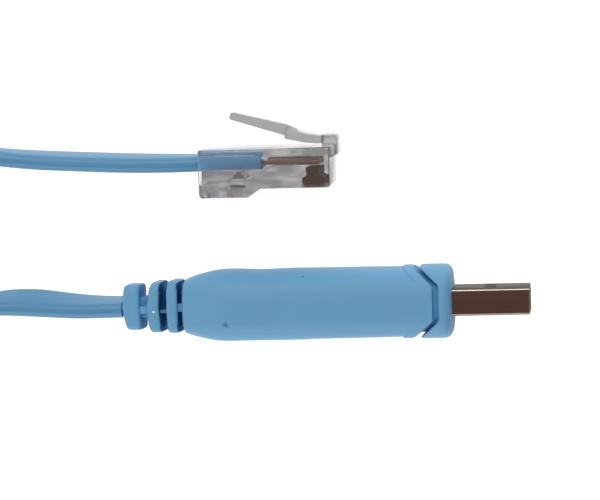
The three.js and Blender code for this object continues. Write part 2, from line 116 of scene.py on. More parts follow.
# Strap round the hank
TIE_GAP = 0.1
TIE_CORNER = 2.4
TIE_THICKNESS = 0.9
TIE_OVERLAP = 18
TIE_EDGE = 0.25

# USB moulding: distance from the collar's front, half thickness towards +Y and towards -Y, half width
MOULDING_PROFILE = [
    (-45, 4.25, 4.25, 6.0), (-44.75, 4.58, 4.58, 6.4), (-43.7, 4.98, 4.94, 6.9), (-42.6, 5.3, 5.25, 7.35),
    (-41.4, 5.58, 5.53, 7.8), (-40.1, 5.83, 5.78, 8.15), (-38.6, 5.95, 5.93, 8.4), (-36.6, 5.95, 5.97, 8.5),
    (-34.2, 5.85, 5.97, 8.5), (-31.9, 5.78, 5.97, 8.5), (-29.4, 5.82, 5.97, 8.5), (-27.0, 5.88, 5.97, 8.5),
    (-24.6, 5.86, 5.96, 8.5), (-22, 5.84, 5.94, 8.5), (-18, 5.82, 5.92, 8.5), (-14, 5.8, 5.88, 8.5),
    (-11, 5.78, 5.85, 8.5), (-7.9, 5.76, 5.82, 8.5),
]
MOULDING_ROUNDNESS = 3.1
MOULDING_SIDES = 112
MOULDING_STEPS = 4
LAND = (-5.4, -3.35)
LAND_SHAPE = [(0, 0), (0.15, 0.3), (0.3, 0.8), (0.5, 1), (1.6, 1), (1.85, 0.85), (2.0, 0.3)]
LAND_RISE = 0.25
COLLAR = (6.05, 6.12, 8.75)
COLLAR_BACK = [(-2.3, 0.2), (-2.2, 0.06), (-2.05, 0), (-1.75, 0)]
COLLAR_RIM = 1.3
RIM_INSET = 1.3
RIM_STEPS = 7
FACE_DOME = 0.35
FACE_RINGS = (0.88, 0.7, 0.5, 0.3, 0.1, 0.01)
GROOVE = (-3.3, -2.3)
GROOVE_DEPTH = 0.75
GROOVE_WALL = 0.12
GROOVE_FLAT_HALF = 2.9
GROOVE_SLOPE = 1.1
GROOVE_FADE = (-14, -1.4)
LABEL_BOTTOM = (-24.1, -8.7, 5.68)

# Strain relief: each rib's rear and front faces at its top, middle and bottom, then its half sizes
RIBS = [
    ((-47.7, -47.75, -47.6), (-45.95, -45.95, -45.9), 4.4, 5.4),
    ((-50.4, -51.15, -50.6), (-48.85, -49.15, -48.75), 4.25, 5.2),
    ((-55.15, -55.5, -54.75), (-52.55, -52.6, -52.4), 3.85, 3.7),
]
# Across a rib: how far along it, and the share of its edge that is drawn in there
RIB_EDGES = [(0, 1), (0.08, 0.35), (0.22, 0), (0.78, 0), (0.92, 0.35), (1, 1)]
RIB_ROUNDNESS = 6
RIB_EDGE = 0.22
RIB_BOW = 1.3
RIB_SIDES = 64
RIB_FACE_RINGS = (0.75, 0.5, 0.25, 0.02)
SLOT_CORE = (3.6, 1.4)
CORE_OVERLAP = 0.8
NECK_CORE = (1.75, 2.9)
NECK_OVERLAP = 0.5
WEBS = [
    (-46.3, -44.6, -0.72, 0.58, 4.75),
    (-49.6, -47.5, -1.0, -0.5, 3.3),
    (-53.0, -50.8, -1.08, 0.19, 3.4),
]

# Which of the moulding's faces get painted shade: spans along X, and how squarely a face looks along an
# axis
SLOT_SPANS = [(-46.2, -44.9), (-49.3, -47.5)]
# Painted shade in the slots, as shares of the moulding colour
SLOT_PAINTED_SHADE = (0.01, 0.3, 0.5)
SLOT_FACING = 0.75
SLOT_MARGIN = 0.1
NECK_SPAN = (-52.8, -50.6)
NECK_REACH = 3.7
WEB_FACING = 0.9
WEB_RISE = 0.2
# Painted shade in the groove and the neck notch, as shares of the moulding colour
GROOVE_PAINTED_SHADE = (0.45, 0.72, 0.82)
GROOVE_FACING = 0.8

# Marks on the moulding
PIN_MARKS = [((-24.7, 4.95, 6.65), (0, 0, 1)), ((-24.7, -5.7, 4.2), (0, -1, 0))]
PIN_RADIUS = 0.3
PIN_DEPTH = 0.3
SMUDGE = (-37.4, -2.75, 7.9)
SMUDGE_RADIUS = 0.7
# The bead's pale colour is a painted highlight
BEAD = (-49.9, -0.65, 5.2)
BEAD_RADIUS = 0.22

# USB shell and tongue
SHELL = (4.5, 12.0)
SHELL_CORNER = 0.5
SHELL_WALL = 0.3
SHELL_BACK = -3.7
SHELL_FRONT = 12.5
SHELL_HOLE = (5, 7)
SHELL_HOLE_SIDE = (1.75, 3.75)
SHELL_SEAM = 0.07
SHELL_LEAD = 0.12
# Painted shade on the shell's broad sides, as a share of the shell colour
BROAD_PAINTED_SHADE = 0.4
BROAD_FACING = 0.4
TONGUE_REACH = (-3.4, 12.0)
TONGUE_HEIGHT = (-1.75, 0.15)
TONGUE_HALF_WIDTH = 5.4
TONGUE_LEAD_LOW = (0.4, 0.5)
TONGUE_LEAD_HIGH = 0.3
TONGUE_EDGE = 0.08
TONGUE_BLOCK = 1.8
TONGUE_BLOCK_GAP = 0.05
CONTACT_GROOVES = (-3.5, -1, 1, 3.5)
CONTACT_DEPTH = 0.3
CONTACT_HALF = 0.6
CONTACT_SPAN = (2.1, 11.6)
CONTACT_EDGE = 0.05

# Modular plug, from its rear face at X = 0, latch face at Y = 0 and far side at Z = 0
LATCH_ROOT = (19.5, 1.25, 5.84)
PLUG_WIDTH = 11.68
PLUG_MIDDLE = PLUG_WIDTH / 2
PLUG_SIDE = [
    (0, 0), (0, -7.5), (0.3, -8), (8.2, -8), (10.3, -6.55), (21.65, -6.55), (21.9, -6.3), (21.9, 0),
]
PLUG_NOSE = [(20.45, -1.3), (21.9, -1.9), (23, -1.3), (23, 1.5), (22.5, 2), (20.45, 2)]
NOSE_HALF_WIDTH = 3.1
PLUG_CAVITY = [
    (-5, -1.2), (9.7, -1.2), (11.5, -2.05), (16.4, -2.05), (16.4, -2.8), (13.56, -2.8), (12.5, -3.0),
    (11.3, -3.6), (10.3, -4.35), (9.2, -5.1), (7.9, -5.35), (4.6, -5.4), (0, -5.9), (-5, -5.9),
]
CAVITY_WALL = 1.1
CRIMP_BAR = [(5, -6.4), (7.8, -6.4), (7.4, -4.6), (7, -4), (6.2, -4), (5.6, -4.6)]
CRIMP_INSET = 2
CRIMP_BAR_INSET = 2.1
WINDOWS = [(4.6, 7.2, -6.2), (1.3, 3.3, -6.9)]
PLUG_EDGE = 0.16
# How squarely a face looks down or forwards to have the painted shade, and how far past the nose's side
DOWN_FACING = 0.5
FRONT_FACING = 0.7
NOSE_MARGIN = 0.5

# Latch outlines, in the plug's frame
LATCH_STRIP = [
    (14.3, 1.5), (17.7, 0.75), (19.5, 0.6), (20.8, 0.6), (20.8, 1.9), (19.5, 1.9), (17.3, 2.3), (15.7, 3.0),
    (14.3, 3.15),
]
LATCH_LEVER = [
    (4.9, 5.1), (5.1, 4.8), (14.3, 1.9), (16, 2), (16.6, 2.6), (16, 3.05), (14.4, 3.75), (5.6, 5.95),
    (5.15, 5.9),
]
LATCH_HALF_WIDTH = 3.05
LEVER_HALF_WIDTH = 1.63
LATCH_SPACING = 0.4
LATCH_EDGE = 0.14

# Blades and conductors
BLADES = 8
BLADE_PITCH = 1.02
SLOT_HALF = 0.19
BLADE_SLOT = [(17.0, -5.9), (17.0, -7), (20.8, -7), (20.8, -5.9)]
WIRE_DEPTH = -2.4
WIRE_SPAN = (10.5, 20)
WIRE_RADIUS = 0.43
WIRE_SPREAD = (11, 14)
WIRE_PITCH_IN_CORD = 0.87
WIRE_SIDES = 18
WIRE_STATIONS = 14
WIRES = {
    "white": "#E6E2D8", "orange": "#C9651F", "black": "#1E1C1B", "red": "#9C2A20",
    "green": "#2F7A3C", "yellow": "#D2B93A", "blue": "#2F62A6", "brown": "#6E4230",
}

# Stage: how far the floor lies below the part, and the lights' names, places, sides, watts and colours
FLOOR_DROP = 0.02
LIGHTS = [
    ("key_light", (0.05, 0.75, 0.75), (1.0, 0.6), 9.5, (1.0, 0.99, 0.97)),
    ("fill_light", (-0.1, -0.95, 0.38), (1.0, 0.5), 7.5, (0.97, 0.99, 1.0)),
    ("side_light", (-0.9, 0.1, 0.7), (0.5, 0.8), 3, (1.0, 1.0, 1.0)),
]


# Colours and materials

def linear(hex_colour):
    """An sRGB hex colour as the linear red, green and blue that shaders use."""
    channels = [int(hex_colour[i:i + 2], 16) / 255 for i in (1, 3, 5)]
    return tuple(c / 12.92 if c <= 0.04045 else ((c + 0.055) / 1.055) ** 2.4 for c in channels)


def opaque(colour):
    """A colour with full alpha, for a shader's socket."""
    return (*colour[:3], 1.0)


def shaded(colour, share):
    """A colour times one share, or times a share for each channel."""
    shares = share if isinstance(share, tuple) else (share,) * 3
    return [c * s for c, s in zip(colour, shares)]


def per_metre(size_mm):
    """The texture scale at which one feature is this many millimetres across."""
    return 1 / (size_mm * MM)


def add_node(tree, kind, settings=None, links=None):
    """Add a node: settings fill its properties and inputs, and links join its inputs to outputs."""
    node = tree.nodes.new(kind)
    for name, value in (settings or {}).items():
        if isinstance(name, int) or name in node.inputs:
            node.inputs[name].default_value = value
        else:
            setattr(node, name, value)
    for name, source in (links or {}).items():
        tree.links.new(source, node.inputs[name])
    return node


def new_material(name, surface, tint):
    """A material with one principled shader, its object coordinates and its viewport colour."""
    material = bpy.data.materials.new(name)
    material.use_nodes = True
    material.diffuse_color = opaque(tint)
    tree = material.node_tree
    tree.nodes.clear()
    shader = add_node(tree, "ShaderNodeBsdfPrincipled", surface)
    add_node(tree, "ShaderNodeOutputMaterial", links={"Surface": shader.outputs["BSDF"]})
    place = add_node(tree, "ShaderNodeTexCoord")
    return material, tree, shader, place.outputs["Object"]


def noise(tree, place, size_mm, detail, roughness=0.5):
    """Cloudy noise whose features are about this many millimetres across."""
    settings = {"Scale": per_metre(size_mm), "Detail": detail, "Roughness": roughness}
    return add_node(tree, "ShaderNodeTexNoise", settings, {"Vector": place}).outputs["Fac"]


def stretched(tree, place, share):
    """The coordinates with the pattern drawn out along X."""
    node = add_node(tree, "ShaderNodeMapping", {"Scale": (share, 1.0, 1.0)}, {"Vector": place})
    return node.outputs["Vector"]


def tint_between(tree, first, second, factor):
    """A colour that goes from the first to the second as the factor goes from 0 to 1."""
    settings = {"data_type": "RGBA", 6: opaque(first), 7: opaque(second)}
    return add_node(tree, "ShaderNodeMix", settings, {0: factor}).outputs[2]


def dress(tree, shader, pattern, colour=None, sheen=None, bump=None):
    """Join a shader to a colour and a pattern: the span of its roughness, and a bump's strength and mm."""
    if colour is not None:
        tree.links.new(colour, shader.inputs["Base Color"])
    if sheen:
        spread = add_node(tree, "ShaderNodeMapRange", {"To Min": sheen[0], "To Max": sheen[1]},
                          {"Value": pattern})
        tree.links.new(spread.outputs["Result"], shader.inputs["Roughness"])
    if bump:
        relief = add_node(tree, "ShaderNodeBump", {"Strength": bump[0], "Distance": bump[1] * MM},
                          {"Height": pattern})
        tree.links.new(relief.outputs["Normal"], shader.inputs["Normal"])


def soft_pvc(name, colour, cast, grain_mm, roughness, smudge=None):
    """Soft PVC, moulded or drawn: satin, with a faint cloud in its colour and a fine eroded grain.

    The grain of the tool is about 0.05 mm. It is drawn coarser than that, so that it shows.
    A smudge is a ragged dark spot, given by its centre and radius.
    """
    material, tree, shader, place = new_material(name, {
        "IOR": 1.53, "Subsurface Weight": 0.06, "Subsurface Scale": 1.2 * MM,
        "Subsurface Radius": (0.6, 0.9, 1.0), "Specular IOR Level": 0.35,
    }, colour)
    tone = tint_between(tree, colour, cast, noise(tree, place, 6, 3.0, roughness=0.6))
    if smudge:
        centre, radius = smudge
        away = add_node(tree, "ShaderNodeVectorMath", {"operation": "DISTANCE", 1: centre}, {0: place})
        edge = add_node(tree, "ShaderNodeMath", {"operation": "MULTIPLY_ADD", 1: radius * 1.6},
                        {0: noise(tree, place, 0.7, 4.0), 2: away.outputs["Value"]})
        mark = add_node(tree, "ShaderNodeMapRange", {
            "From Min": radius * 1.1, "From Max": radius * 1.9, "To Min": 0.85, "To Max": 0.0,
        }, {"Value": edge.outputs["Value"]})
        tone = add_node(tree, "ShaderNodeMix", {"data_type": "RGBA", 7: opaque(linear("#3B4A57"))},
                        {0: mark.outputs["Result"], 6: tone}).outputs[2]
    grain = noise(tree, place, grain_mm, 2.0)
    dress(tree, shader, grain, tone, sheen=(roughness - 0.05, roughness + 0.05), bump=(0.3, 0.05))
    return material


def moulded_polycarbonate(name, colour, cast=None):
    """Clear polycarbonate, injection moulded in a polished tool: glassy, with a faint haze and flow lines.

    The flow lines run along the plug, about 1.4 mm apart, and the tint drifts to the cast between them.
    """
    material, tree, shader, place = new_material(name, {
        "Roughness": 0.05, "IOR": 1.585, "Transmission Weight": 0.95,
    }, colour)
    flow = noise(tree, stretched(tree, place, 0.25), 1.4, 2.0)
    drift = add_node(tree, "ShaderNodeMapRange", {"From Min": 0.42, "From Max": 0.62}, {"Value": flow})
    tone = tint_between(tree, colour, cast or colour, drift.outputs["Result"])
    dress(tree, shader, flow, tone, bump=(0.25, 0.05))
    return material


def nickel_plated_steel(name, colour, roughness):
    """Bright nickel on folded steel strip: mirror-like, with faint rolling lines along the shell."""
    material, tree, shader, place = new_material(name, {
        "Base Color": opaque(colour), "Metallic": 1.0, "Specular Tint": (0.3, 0.28, 0.27, 1.0),
    }, colour)
    rolled = noise(tree, stretched(tree, place, 0.06), 0.35, 3.0)
    dress(tree, shader, rolled, sheen=(roughness - 0.05, roughness + 0.08), bump=(0.06, 0.02))
    return material


def gold_plated_contact(name, colour):
    """Thin gold over stamped phosphor bronze: warm and bright, with fine stamping lines."""
    surface = {"Base Color": opaque(colour), "Metallic": 1.0}
    material, tree, shader, place = new_material(name, surface, colour)
    dress(tree, shader, noise(tree, place, 0.3, 2.0), sheen=(0.22, 0.38))
    return material


def rigid_thermoplastic(name, colour, roughness):
    """Moulded PBT or wire PVC: an even colour with a soft gloss and a faint unevenness."""
    material, tree, shader, place = new_material(name, {"IOR": 1.55, "Roughness": roughness}, colour)
    cloud = noise(tree, place, 2, 2.0)
    dress(tree, shader, cloud, tint_between(tree, colour, shaded(colour, 0.88), cloud))
    return material


def hook_and_loop(name, colour):
    """Woven nylon with a pile of loops: dull, with a fuzz of about 0.4 mm drawn as bump and sheen."""
    material, tree, shader, place = new_material(name, {
        "Roughness": 0.9, "Sheen Weight": 0.5, "Sheen Roughness": 0.6,
    }, colour)
    loops = add_node(tree, "ShaderNodeTexVoronoi", {"Scale": per_metre(0.45)}, {"Vector": place})
    pile = loops.outputs["Distance"]
    tone = tint_between(tree, shaded(colour, 0.5), shaded(colour, 2.2), pile)
    dress(tree, shader, pile, tone, bump=(0.8, 0.25))
    return material


def matt_board(name, colour, glow):
    """Pale painted board, lit from behind a little, as a light table is."""
    material, tree, shader, place = new_material(name, {
        "Roughness": 0.85, "Emission Color": (1.0, 1.0, 1.0, 1.0), "Emission Strength": glow,
    }, colour)
    mottle = noise(tree, place, 40, 2.0)
    dress(tree, shader, mottle, tint_between(tree, colour, shaded(colour, 0.98), mottle))
    return material


# Shapes: a shape is a list of points in millimetres and a list of faces

def prism(outline, low, high):
    """An outline in X and Y, listed anticlockwise or clockwise, carried from one Z to another."""
    count = len(outline)
    points = [(x, y, z) for z in (low, high) for x, y in outline]
    faces = [list(range(count)), list(range(count, 2 * count))]
    faces += [[i, (i + 1) % count, count + (i + 1) % count, count + i] for i in range(count)]
    return points, faces


def block(low, high):
    """A box between two corners."""
    outline = [(low[0], low[1]), (high[0], low[1]), (high[0], high[1]), (low[0], high[1])]
    return prism(outline, low[2], high[2])


def skin(rings, closed=False):
    """A skin over equal rings, with flat ends or, when closed, with the last ring joined to the first."""
    count = len(rings[0])
    points = [point for ring in rings for point in ring]
    total = len(points)
    last = total if closed else total - count
    faces = [] if closed else [list(range(count)), list(range(last, total))]
    for start in range(0, last, count):
        for i in range(count):
            j = (i + 1) % count
            faces.append([start + i, start + j, (start + count + j) % total, (start + count + i) % total])
    return points, faces


def rod(start, end, radius, sides=16):
    """A round bar between two points."""
    axis = (Vector(end) - Vector(start)).normalized()
    across = axis.orthogonal().normalized()
    up = axis.cross(across)
    angles = [2 * math.pi * i / sides for i in range(sides)]
    spokes = [(across * math.cos(a) + up * math.sin(a)) * radius for a in angles]
    return skin([[Vector(middle) + spoke for spoke in spokes] for middle in (start, end)])


def joined(*shapes):
    """Several shapes as one list of points and faces."""
    points, faces = [], []
    for shape_points, shape_faces in shapes:
        faces += [[len(points) + i for i in face] for face in shape_faces]
        points += shape_points
    return points, faces


def crowned(half_up, half_down, half_width, roundness, sides):
    """Points y, z round a crowned section that is a little fuller than an ellipse."""
    power = 2 / roundness
    ring = []
    for i in range(sides):
        angle = 2 * math.pi * i / sides
        across = math.copysign(abs(math.cos(angle)) ** power, math.cos(angle))
        up = math.copysign(abs(math.sin(angle)) ** power, math.sin(angle))
        ring.append(((half_up if across > 0 else half_down) * across, half_width * up))
    return ring


def arc(centre, radius, start, end, steps):
    """Points along an arc, with its angles in degrees."""
    angles = [math.radians(start + (end - start) * i / steps) for i in range(steps + 1)]
    return [(centre[0] + radius * math.cos(a), centre[1] + radius * math.sin(a)) for a in angles]


def rounded_rectangle(half_x, half_y, radius, inset=0):
    """An outline with four round corners, drawn in all round by the inset."""
    half_x, half_y, radius = half_x - inset, half_y - inset, radius - inset
    outline = []
    for side_x, side_y, start in ((1, 1, 0), (-1, 1, 90), (-1, -1, 180), (1, -1, 270)):
        centre = (side_x * (half_x - radius), side_y * (half_y - radius))
        outline += arc(centre, radius, start, start + 90, CORNER_STEPS)
    return outline


def smooth_step(value):
    """0 to 1 with level ends."""
    value = min(1, max(0, value))
    return value * value * (3 - 2 * value)


# Pieces

def new_piece(name, shape):
    """An object with a shape's mesh, its faces turned outwards."""
    points, faces = shape
    mesh = bpy.data.meshes.new(name)
    mesh.from_pydata([Vector(point) for point in points], [], faces)
    work = bmesh.new()
    work.from_mesh(mesh)
    bmesh.ops.recalc_face_normals(work, faces=work.faces)
    work.to_mesh(mesh)
    work.free()
    piece = bpy.data.objects.new(name, mesh)
    bpy.context.scene.collection.objects.link(piece)
    return piece


def settle(piece):
    """Apply a piece's modifiers to its mesh."""
    bpy.context.view_layer.update()
    shown = piece.evaluated_get(bpy.context.evaluated_depsgraph_get())
    mesh = bpy.data.meshes.new_from_object(shown)
    piece.modifiers.clear()
    piece.data = mesh


def carve(piece, shape, operation="DIFFERENCE"):
    """Cut a shape or another piece out of a piece, or join it on with UNION."""
    tool = shape if isinstance(shape, bpy.types.Object) else new_piece("tool", shape)
    modifier = piece.modifiers.new("carve", "BOOLEAN")
    modifier.operation = operation
    modifier.solver = "EXACT"
    modifier.use_self = True
    modifier.object = tool
    settle(piece)
    bpy.data.objects.remove(tool)


def soften(piece, width, segments=2):
    """Round a piece's sharp edges by a width in millimetres."""
    modifier = piece.modifiers.new("soften", "BEVEL")
    modifier.width = width
    modifier.segments = segments
    modifier.limit_method = "ANGLE"
    modifier.angle_limit = math.radians(BEVEL_ANGLE)
    settle(piece)


def place(piece, matrix, body, slot, material, crease=35):
    """Put a finished piece in the frame, smooth it, give it its finish, and hang it on what it rides on.
    The slot is not used.
    """
    piece.data.transform(matrix @ Matrix.Scale(MM, 4))
    piece.data.shade_smooth()
    piece.data.set_sharp_from_angle(angle=math.radians(crease))
    piece.data.materials.clear()
    piece.data.materials.append(material)
    if body:
        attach(piece, body)


def refinish(piece, matrix, material, chosen):
    """Give some of a placed piece's faces a second finish, picked by centre in mm and by direction."""
    piece.data.materials.append(material)
    index = len(piece.data.materials) - 1
    back = matrix.inverted()
    turn = back.to_3x3()
    for face in piece.data.polygons:
        if chosen((back @ face.center) / MM, turn @ face.normal):
            face.material_index = index


def usb_frame():
    """The USB end's own frame: its axis is the middle of the shell."""
    low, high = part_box("usb_shell")
    turn = Matrix.Rotation(math.radians(USB_TURN), 4, "Z") @ Matrix.Rotation(math.radians(USB_ROLL), 4, "X")
    middle = Vector(((SHELL_BACK + SHELL_FRONT) / 2, 0, 0)) * MM
    return Matrix.Translation((low + high) / 2) @ turn @ Matrix.Translation(-middle)


def plug_frame():
    """The modular plug's own frame, found from the latch's hinge."""
    hinge = Vector(frame["joints"][0]["pos_m"])
    turn = Matrix.Rotation(math.radians(PLUG_TURN), 4, "Z")
    return Matrix.Translation(hinge) @ turn @ Matrix.Translation(-Vector(LATCH_ROOT) * MM)


# Cord

def through(points, steps):
    """A smooth run through the given points."""
    points = [2 * points[0] - points[1], *points, 2 * points[-1] - points[-2]]
    run = []
    for before, start, end, after in zip(points, points[1:], points[2:], points[3:]):
        for i in range(steps):
            t = i / steps
            bend = 2 * before - 5 * start + 4 * end - after
            twist = 3 * start - before - 3 * end + after
            run.append(start + 0.5 * t * ((end - before) + t * (bend + t * twist)))
    return run + [points[-2]]


def hank_route(cord):
    """The wound turns: runs along X joined by half turns, climbing to the upper layer half way."""
    low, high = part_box("cord_hank")
    half = cord.thickness / MM / 2
    outer = (high.y - low.y) / MM / 2 - half
    middle_y = (high.y + low.y) / MM / 2
    near = high.x / MM - outer - half
    far = low.x / MM + outer + half
    inward = [outer - TURN_STEP * i for i in range(HANK_TURNS)]
    radii = inward + inward[::-1]
    climb_start = HANK_TURNS - 1
    route = []

    def add(spot, end, radius, turn, side):
        climb = min(1, max(0, (spot - climb_start) / (1 + RUN_SHARE)))
        height = LAYER_HEIGHTS[0] + (LAYER_HEIGHTS[1] - LAYER_HEIGHTS[0]) * smooth_step(climb)
        radius -= CLIMB_TUCK * math.sin(math.pi * climb)
        x = end - side * radius * math.sin(turn)
        route.append(Vector((x, middle_y + side * radius * math.cos(turn), height, 0)))

    for number, radius in enumerate(radii):
        side = 1 if number % 2 == 0 else -1
        start, end = (near, far) if side > 0 else (far, near)
        for step in range(RUN_STEPS + 1):
            part = step / RUN_STEPS
            add(number + RUN_SHARE * part, start + (end - start) * part, radius, 0, side)
        if number == len(radii) - 1:
            break
        for step in range(1, BEND_STEPS):
            part = step / BEND_STEPS
            drawn_in = radius + (radii[number + 1] - radius) * part
            add(number + RUN_SHARE + (1 - RUN_SHARE) * part, end, drawn_in, math.pi * part, side)
    return route


def cord_section(cord):
    """The flat jacket's section: a strip with round edges, as distances across and up."""
    half = cord.thickness / MM / 2
    straight = cord.width / MM / 2 - half
    steps = CORD_SIDES // 2 - 1
    return arc((0, straight), half, 0, 180, steps) + arc((0, -straight), half, 180, 360, steps)


def flat_tube(route, section):
    """The section carried along the route, its width kept upright apart from the route's lean."""
    rings = []
    last = len(route) - 1
    for i, spot in enumerate(route):
        heading = (route[min(i + 1, last)] - route[max(i - 1, 0)]).to_3d().normalized()
        lean = math.radians(spot[3])
        upright = Vector((0, -math.sin(lean), math.cos(lean)))
        upright = (upright - heading * upright.dot(heading)).normalized()
        across = upright.cross(heading)
        centre = spot.to_3d()
        rings.append([centre + across * a + upright * b for a, b in section])
    for end, inner in ((0, 1), (-1, -2)):
        outward = (route[end] - route[inner]).to_3d().normalized()
        middle = route[end].to_3d()
        share, reach = CORD_END
        cap = [middle + (point - middle) * share + outward * reach for point in rings[end]]
        rings.insert(0 if end == 0 else len(rings), cap)
    return skin(rings)


def colour_setting(name, description, hex_colour):
    """A property that holds a colour."""
    return bpy.props.FloatVectorProperty(
        name=name, description=description, subtype="COLOR", default=linear(hex_colour))


def length_setting(name, description, size_mm):
    """A property that holds a short length, whose default is given in millimetres."""
    return bpy.props.FloatProperty(
        name=name, description=description, default=size_mm * MM, unit="LENGTH", precision=5)


class CordSettings(bpy.types.PropertyGroup):
    """Sizes and colour of the flat cord."""

    width: length_setting("Width", "Width of the flat jacket", 6.5)
    thickness: length_setting("Thickness", "Thickness of the flat jacket", 2.6)
    colour: colour_setting("Jacket colour", "Colour of the PVC jacket", "#4D8AB2")
    # A brighter jacket colour painted in as light inside the plug
    colour_lit_in_plug: colour_setting("Painted light in the plug", "Brighter jacket colour painted in as light inside the plug", "#50B4F0")
    tie_colour: colour_setting("Tie colour", "Colour of the strap round the hank", "#1B1C1F")


class MouldingSettings(bpy.types.PropertyGroup):
    """Finish of the USB plug's moulding, shell and tongue."""

    colour: colour_setting("Moulding colour", "Colour of the PVC moulding", "#609CC4")
    # A pale colour painted on the bead as a highlight
    bead_highlight_colour: colour_setting("Bead highlight colour", "Pale painted highlight on the bead of flash on the middle rib", "#C8DEEC")
    grain: length_setting("Grain", "Size of the moulding's grain as drawn", 0.25)
    shell_colour: colour_setting("Shell colour", "Colour of the plated shell", "#A39C95")
    tongue_colour: colour_setting("Tongue colour", "Colour of the tongue in the shell", "#E6E6E2")


class PlugSettings(bpy.types.PropertyGroup):
    """Finish of the clear modular plug and its contacts."""

    colour: colour_setting("Housing tint", "Tint of the clear housing", "#F0F0F1")
    # Painted shade on the housing's underside and front, paler between the flow lines
    shade: colour_setting("Underside painted shade", "Painted shade on the housing's underside and front", "#4E5052")
    shade_cast: colour_setting("Underside painted shade cast", "Paler painted shade between the underside's flow lines", "#8C8D90")
    latch_colour: colour_setting("Latch tint", "Tint of the thicker latch", "#A6A5A7")
    contact_colour: colour_setting("Contact colour", "Colour of the plated contacts", "#B98C48")
    # The blades' gold is darkened as painted shade
    blade_shaded_colour: colour_setting("Blade colour, painted shade", "Gold of the plug's blades, darkened as painted shade", "#5A3F2C")


class StageSettings(bpy.types.PropertyGroup):
    """Floor and lights."""

    floor_size: bpy.props.FloatProperty(
        name="Floor size", description="Side of the square floor", default=3.0, unit="LENGTH")
    floor_colour: colour_setting("Floor colour", "Colour of the floor", "#969696")
    floor_glow: bpy.props.FloatProperty(
        name="Floor glow", description="How much the floor is lit from behind", default=0.92)
    room_colour: colour_setting("Room colour", "Colour of the dim room over the table", "#A0756A")
    room_strength: bpy.props.FloatProperty(
        name="Room strength", description="Brightness of the room", default=0.5)


def add_softbox(name, spot, size, power, colour):
    """A large soft light aimed at the middle of the object."""
    light = bpy.data.lights.new(name, "AREA")
    light.shape = "RECTANGLE"
    light.size, light.size_y = size
    light.energy = power
    light.color = colour
    holder = bpy.data.objects.new(name, light)
    holder.location = spot
    holder.rotation_euler = (-Vector(spot)).to_track_quat("-Z", "Y").to_euler()
    bpy.context.scene.collection.objects.link(holder)


class CABLE_OT_camera(bpy.types.Operator):
    """Look down on both plugs, as the photograph does"""

    bl_idname = "cable.camera"
    bl_label = "Camera"

    def execute(self, context):
        camera = bpy.data.cameras.new("camera")
        camera.lens = CAMERA_LENS
        camera.clip_start = 0.01
        camera.dof.use_dof = False
        spot = Vector(CAMERA_PLACE) * MM
        back = (spot - Vector(LOOK_AT) * MM).normalized()
        right = Vector((0, 1, 0)).cross(back).normalized()
        up = back.cross(right)
        holder = bpy.data.objects.new("camera", camera)
        aim = Matrix((right, up, back)).transposed() @ Matrix.Rotation(math.radians(CAMERA_ROLL), 3, "Z")
        holder.matrix_world = Matrix.Translation(spot) @ aim.to_4x4()
        context.scene.collection.objects.link(holder)
        context.scene.camera = holder
        return {"FINISHED"}


class CABLE_OT_cord(bpy.types.Operator):
    """Flat cord from the modular plug through the hank to the USB plug, and the strap round the hank"""

    bl_idname = "cable.cord"
    bl_label = "Cord and tie"

    def execute(self, context):
        cord = context.scene.cable_cord
        coil = hank_route(cord)
        leaving = [Vector(point) for point in MODULAR_ROUTE] + coil[:2]
        arriving = coil[-2:] + [Vector(point) for point in reversed(USB_ROUTE)]
        route = through(leaving, ROUTE_STEPS)[:-ROUTE_STEPS] + coil[1:-1]
        route += through(arriving, ROUTE_STEPS)[ROUTE_STEPS:]
        piece = new_piece("flat_cord", flat_tube(route, cord_section(cord)))
        finish = soft_pvc("Drawn PVC jacket", cord.colour, shaded(cord.colour, 0.94), JACKET_GRAIN,
                          roughness=0.42)
        place(piece, Matrix.Identity(4), "cable", "cord", finish, crease=50)
        # Painted light: a brighter copy of the jacket where it lies inside the clear plug
        in_plug = soft_pvc("Drawn PVC jacket, painted light in the plug", cord.colour_lit_in_plug, cord.colour_lit_in_plug,
                           JACKET_GRAIN, roughness=0.42)
        refinish(piece, plug_frame(), in_plug,
                 lambda centre, normal: centre.x > 0 and centre.y > JACKET_LOWEST)
        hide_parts("cord_rj45_end", "cord_hank", "cord_usb_end")
        tie = make_tie(cord)
        return {"FINISHED"}


def make_tie(cord):
    """A hook-and-loop strap once round the waist of the hank, with its end laid over on top."""
    low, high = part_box("hank_tie")
    middle = (high + low) / MM / 2
    half_x, half_y, half_z = (high - low) / MM / 2 - Vector((0, TIE_GAP, TIE_GAP))
    outer = rounded_rectangle(half_y, half_z, TIE_CORNER)
    inner = rounded_rectangle(half_y, half_z, TIE_CORNER, TIE_THICKNESS)
    edges = ((-half_x, inner), (-half_x, outer), (half_x, outer), (half_x, inner))
    band = skin([[(x, y, z) for y, z in outline] for x, outline in edges], closed=True)
    tail_top = half_z + TIE_THICKNESS
    tail = block((-half_x, -TIE_OVERLAP / 2, half_z - TIE_GAP), (half_x, TIE_OVERLAP / 2, tail_top))
    tie = new_piece("hank_strap", joined(band, tail))
    soften(tie, TIE_EDGE)
    finish = hook_and_loop("Hook-and-loop nylon", cord.tie_colour)
    place(tie, Matrix.Translation(middle * MM), "cable", "tie", finish)
    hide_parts("hank_tie")
    return tie


# USB plug

def groove_draw(x, y):
    """How far back a point is drawn so that the groove and its land slant at the moulding's edges."""
    rear, front = GROOVE_FADE
    share = min(smooth_step((x - rear) / (LAND[0] - rear)), smooth_step((front - x) / (front - GROOVE[1])))
    return -GROOVE_SLOPE * max(0, abs(y) - GROOVE_FLAT_HALF) * share


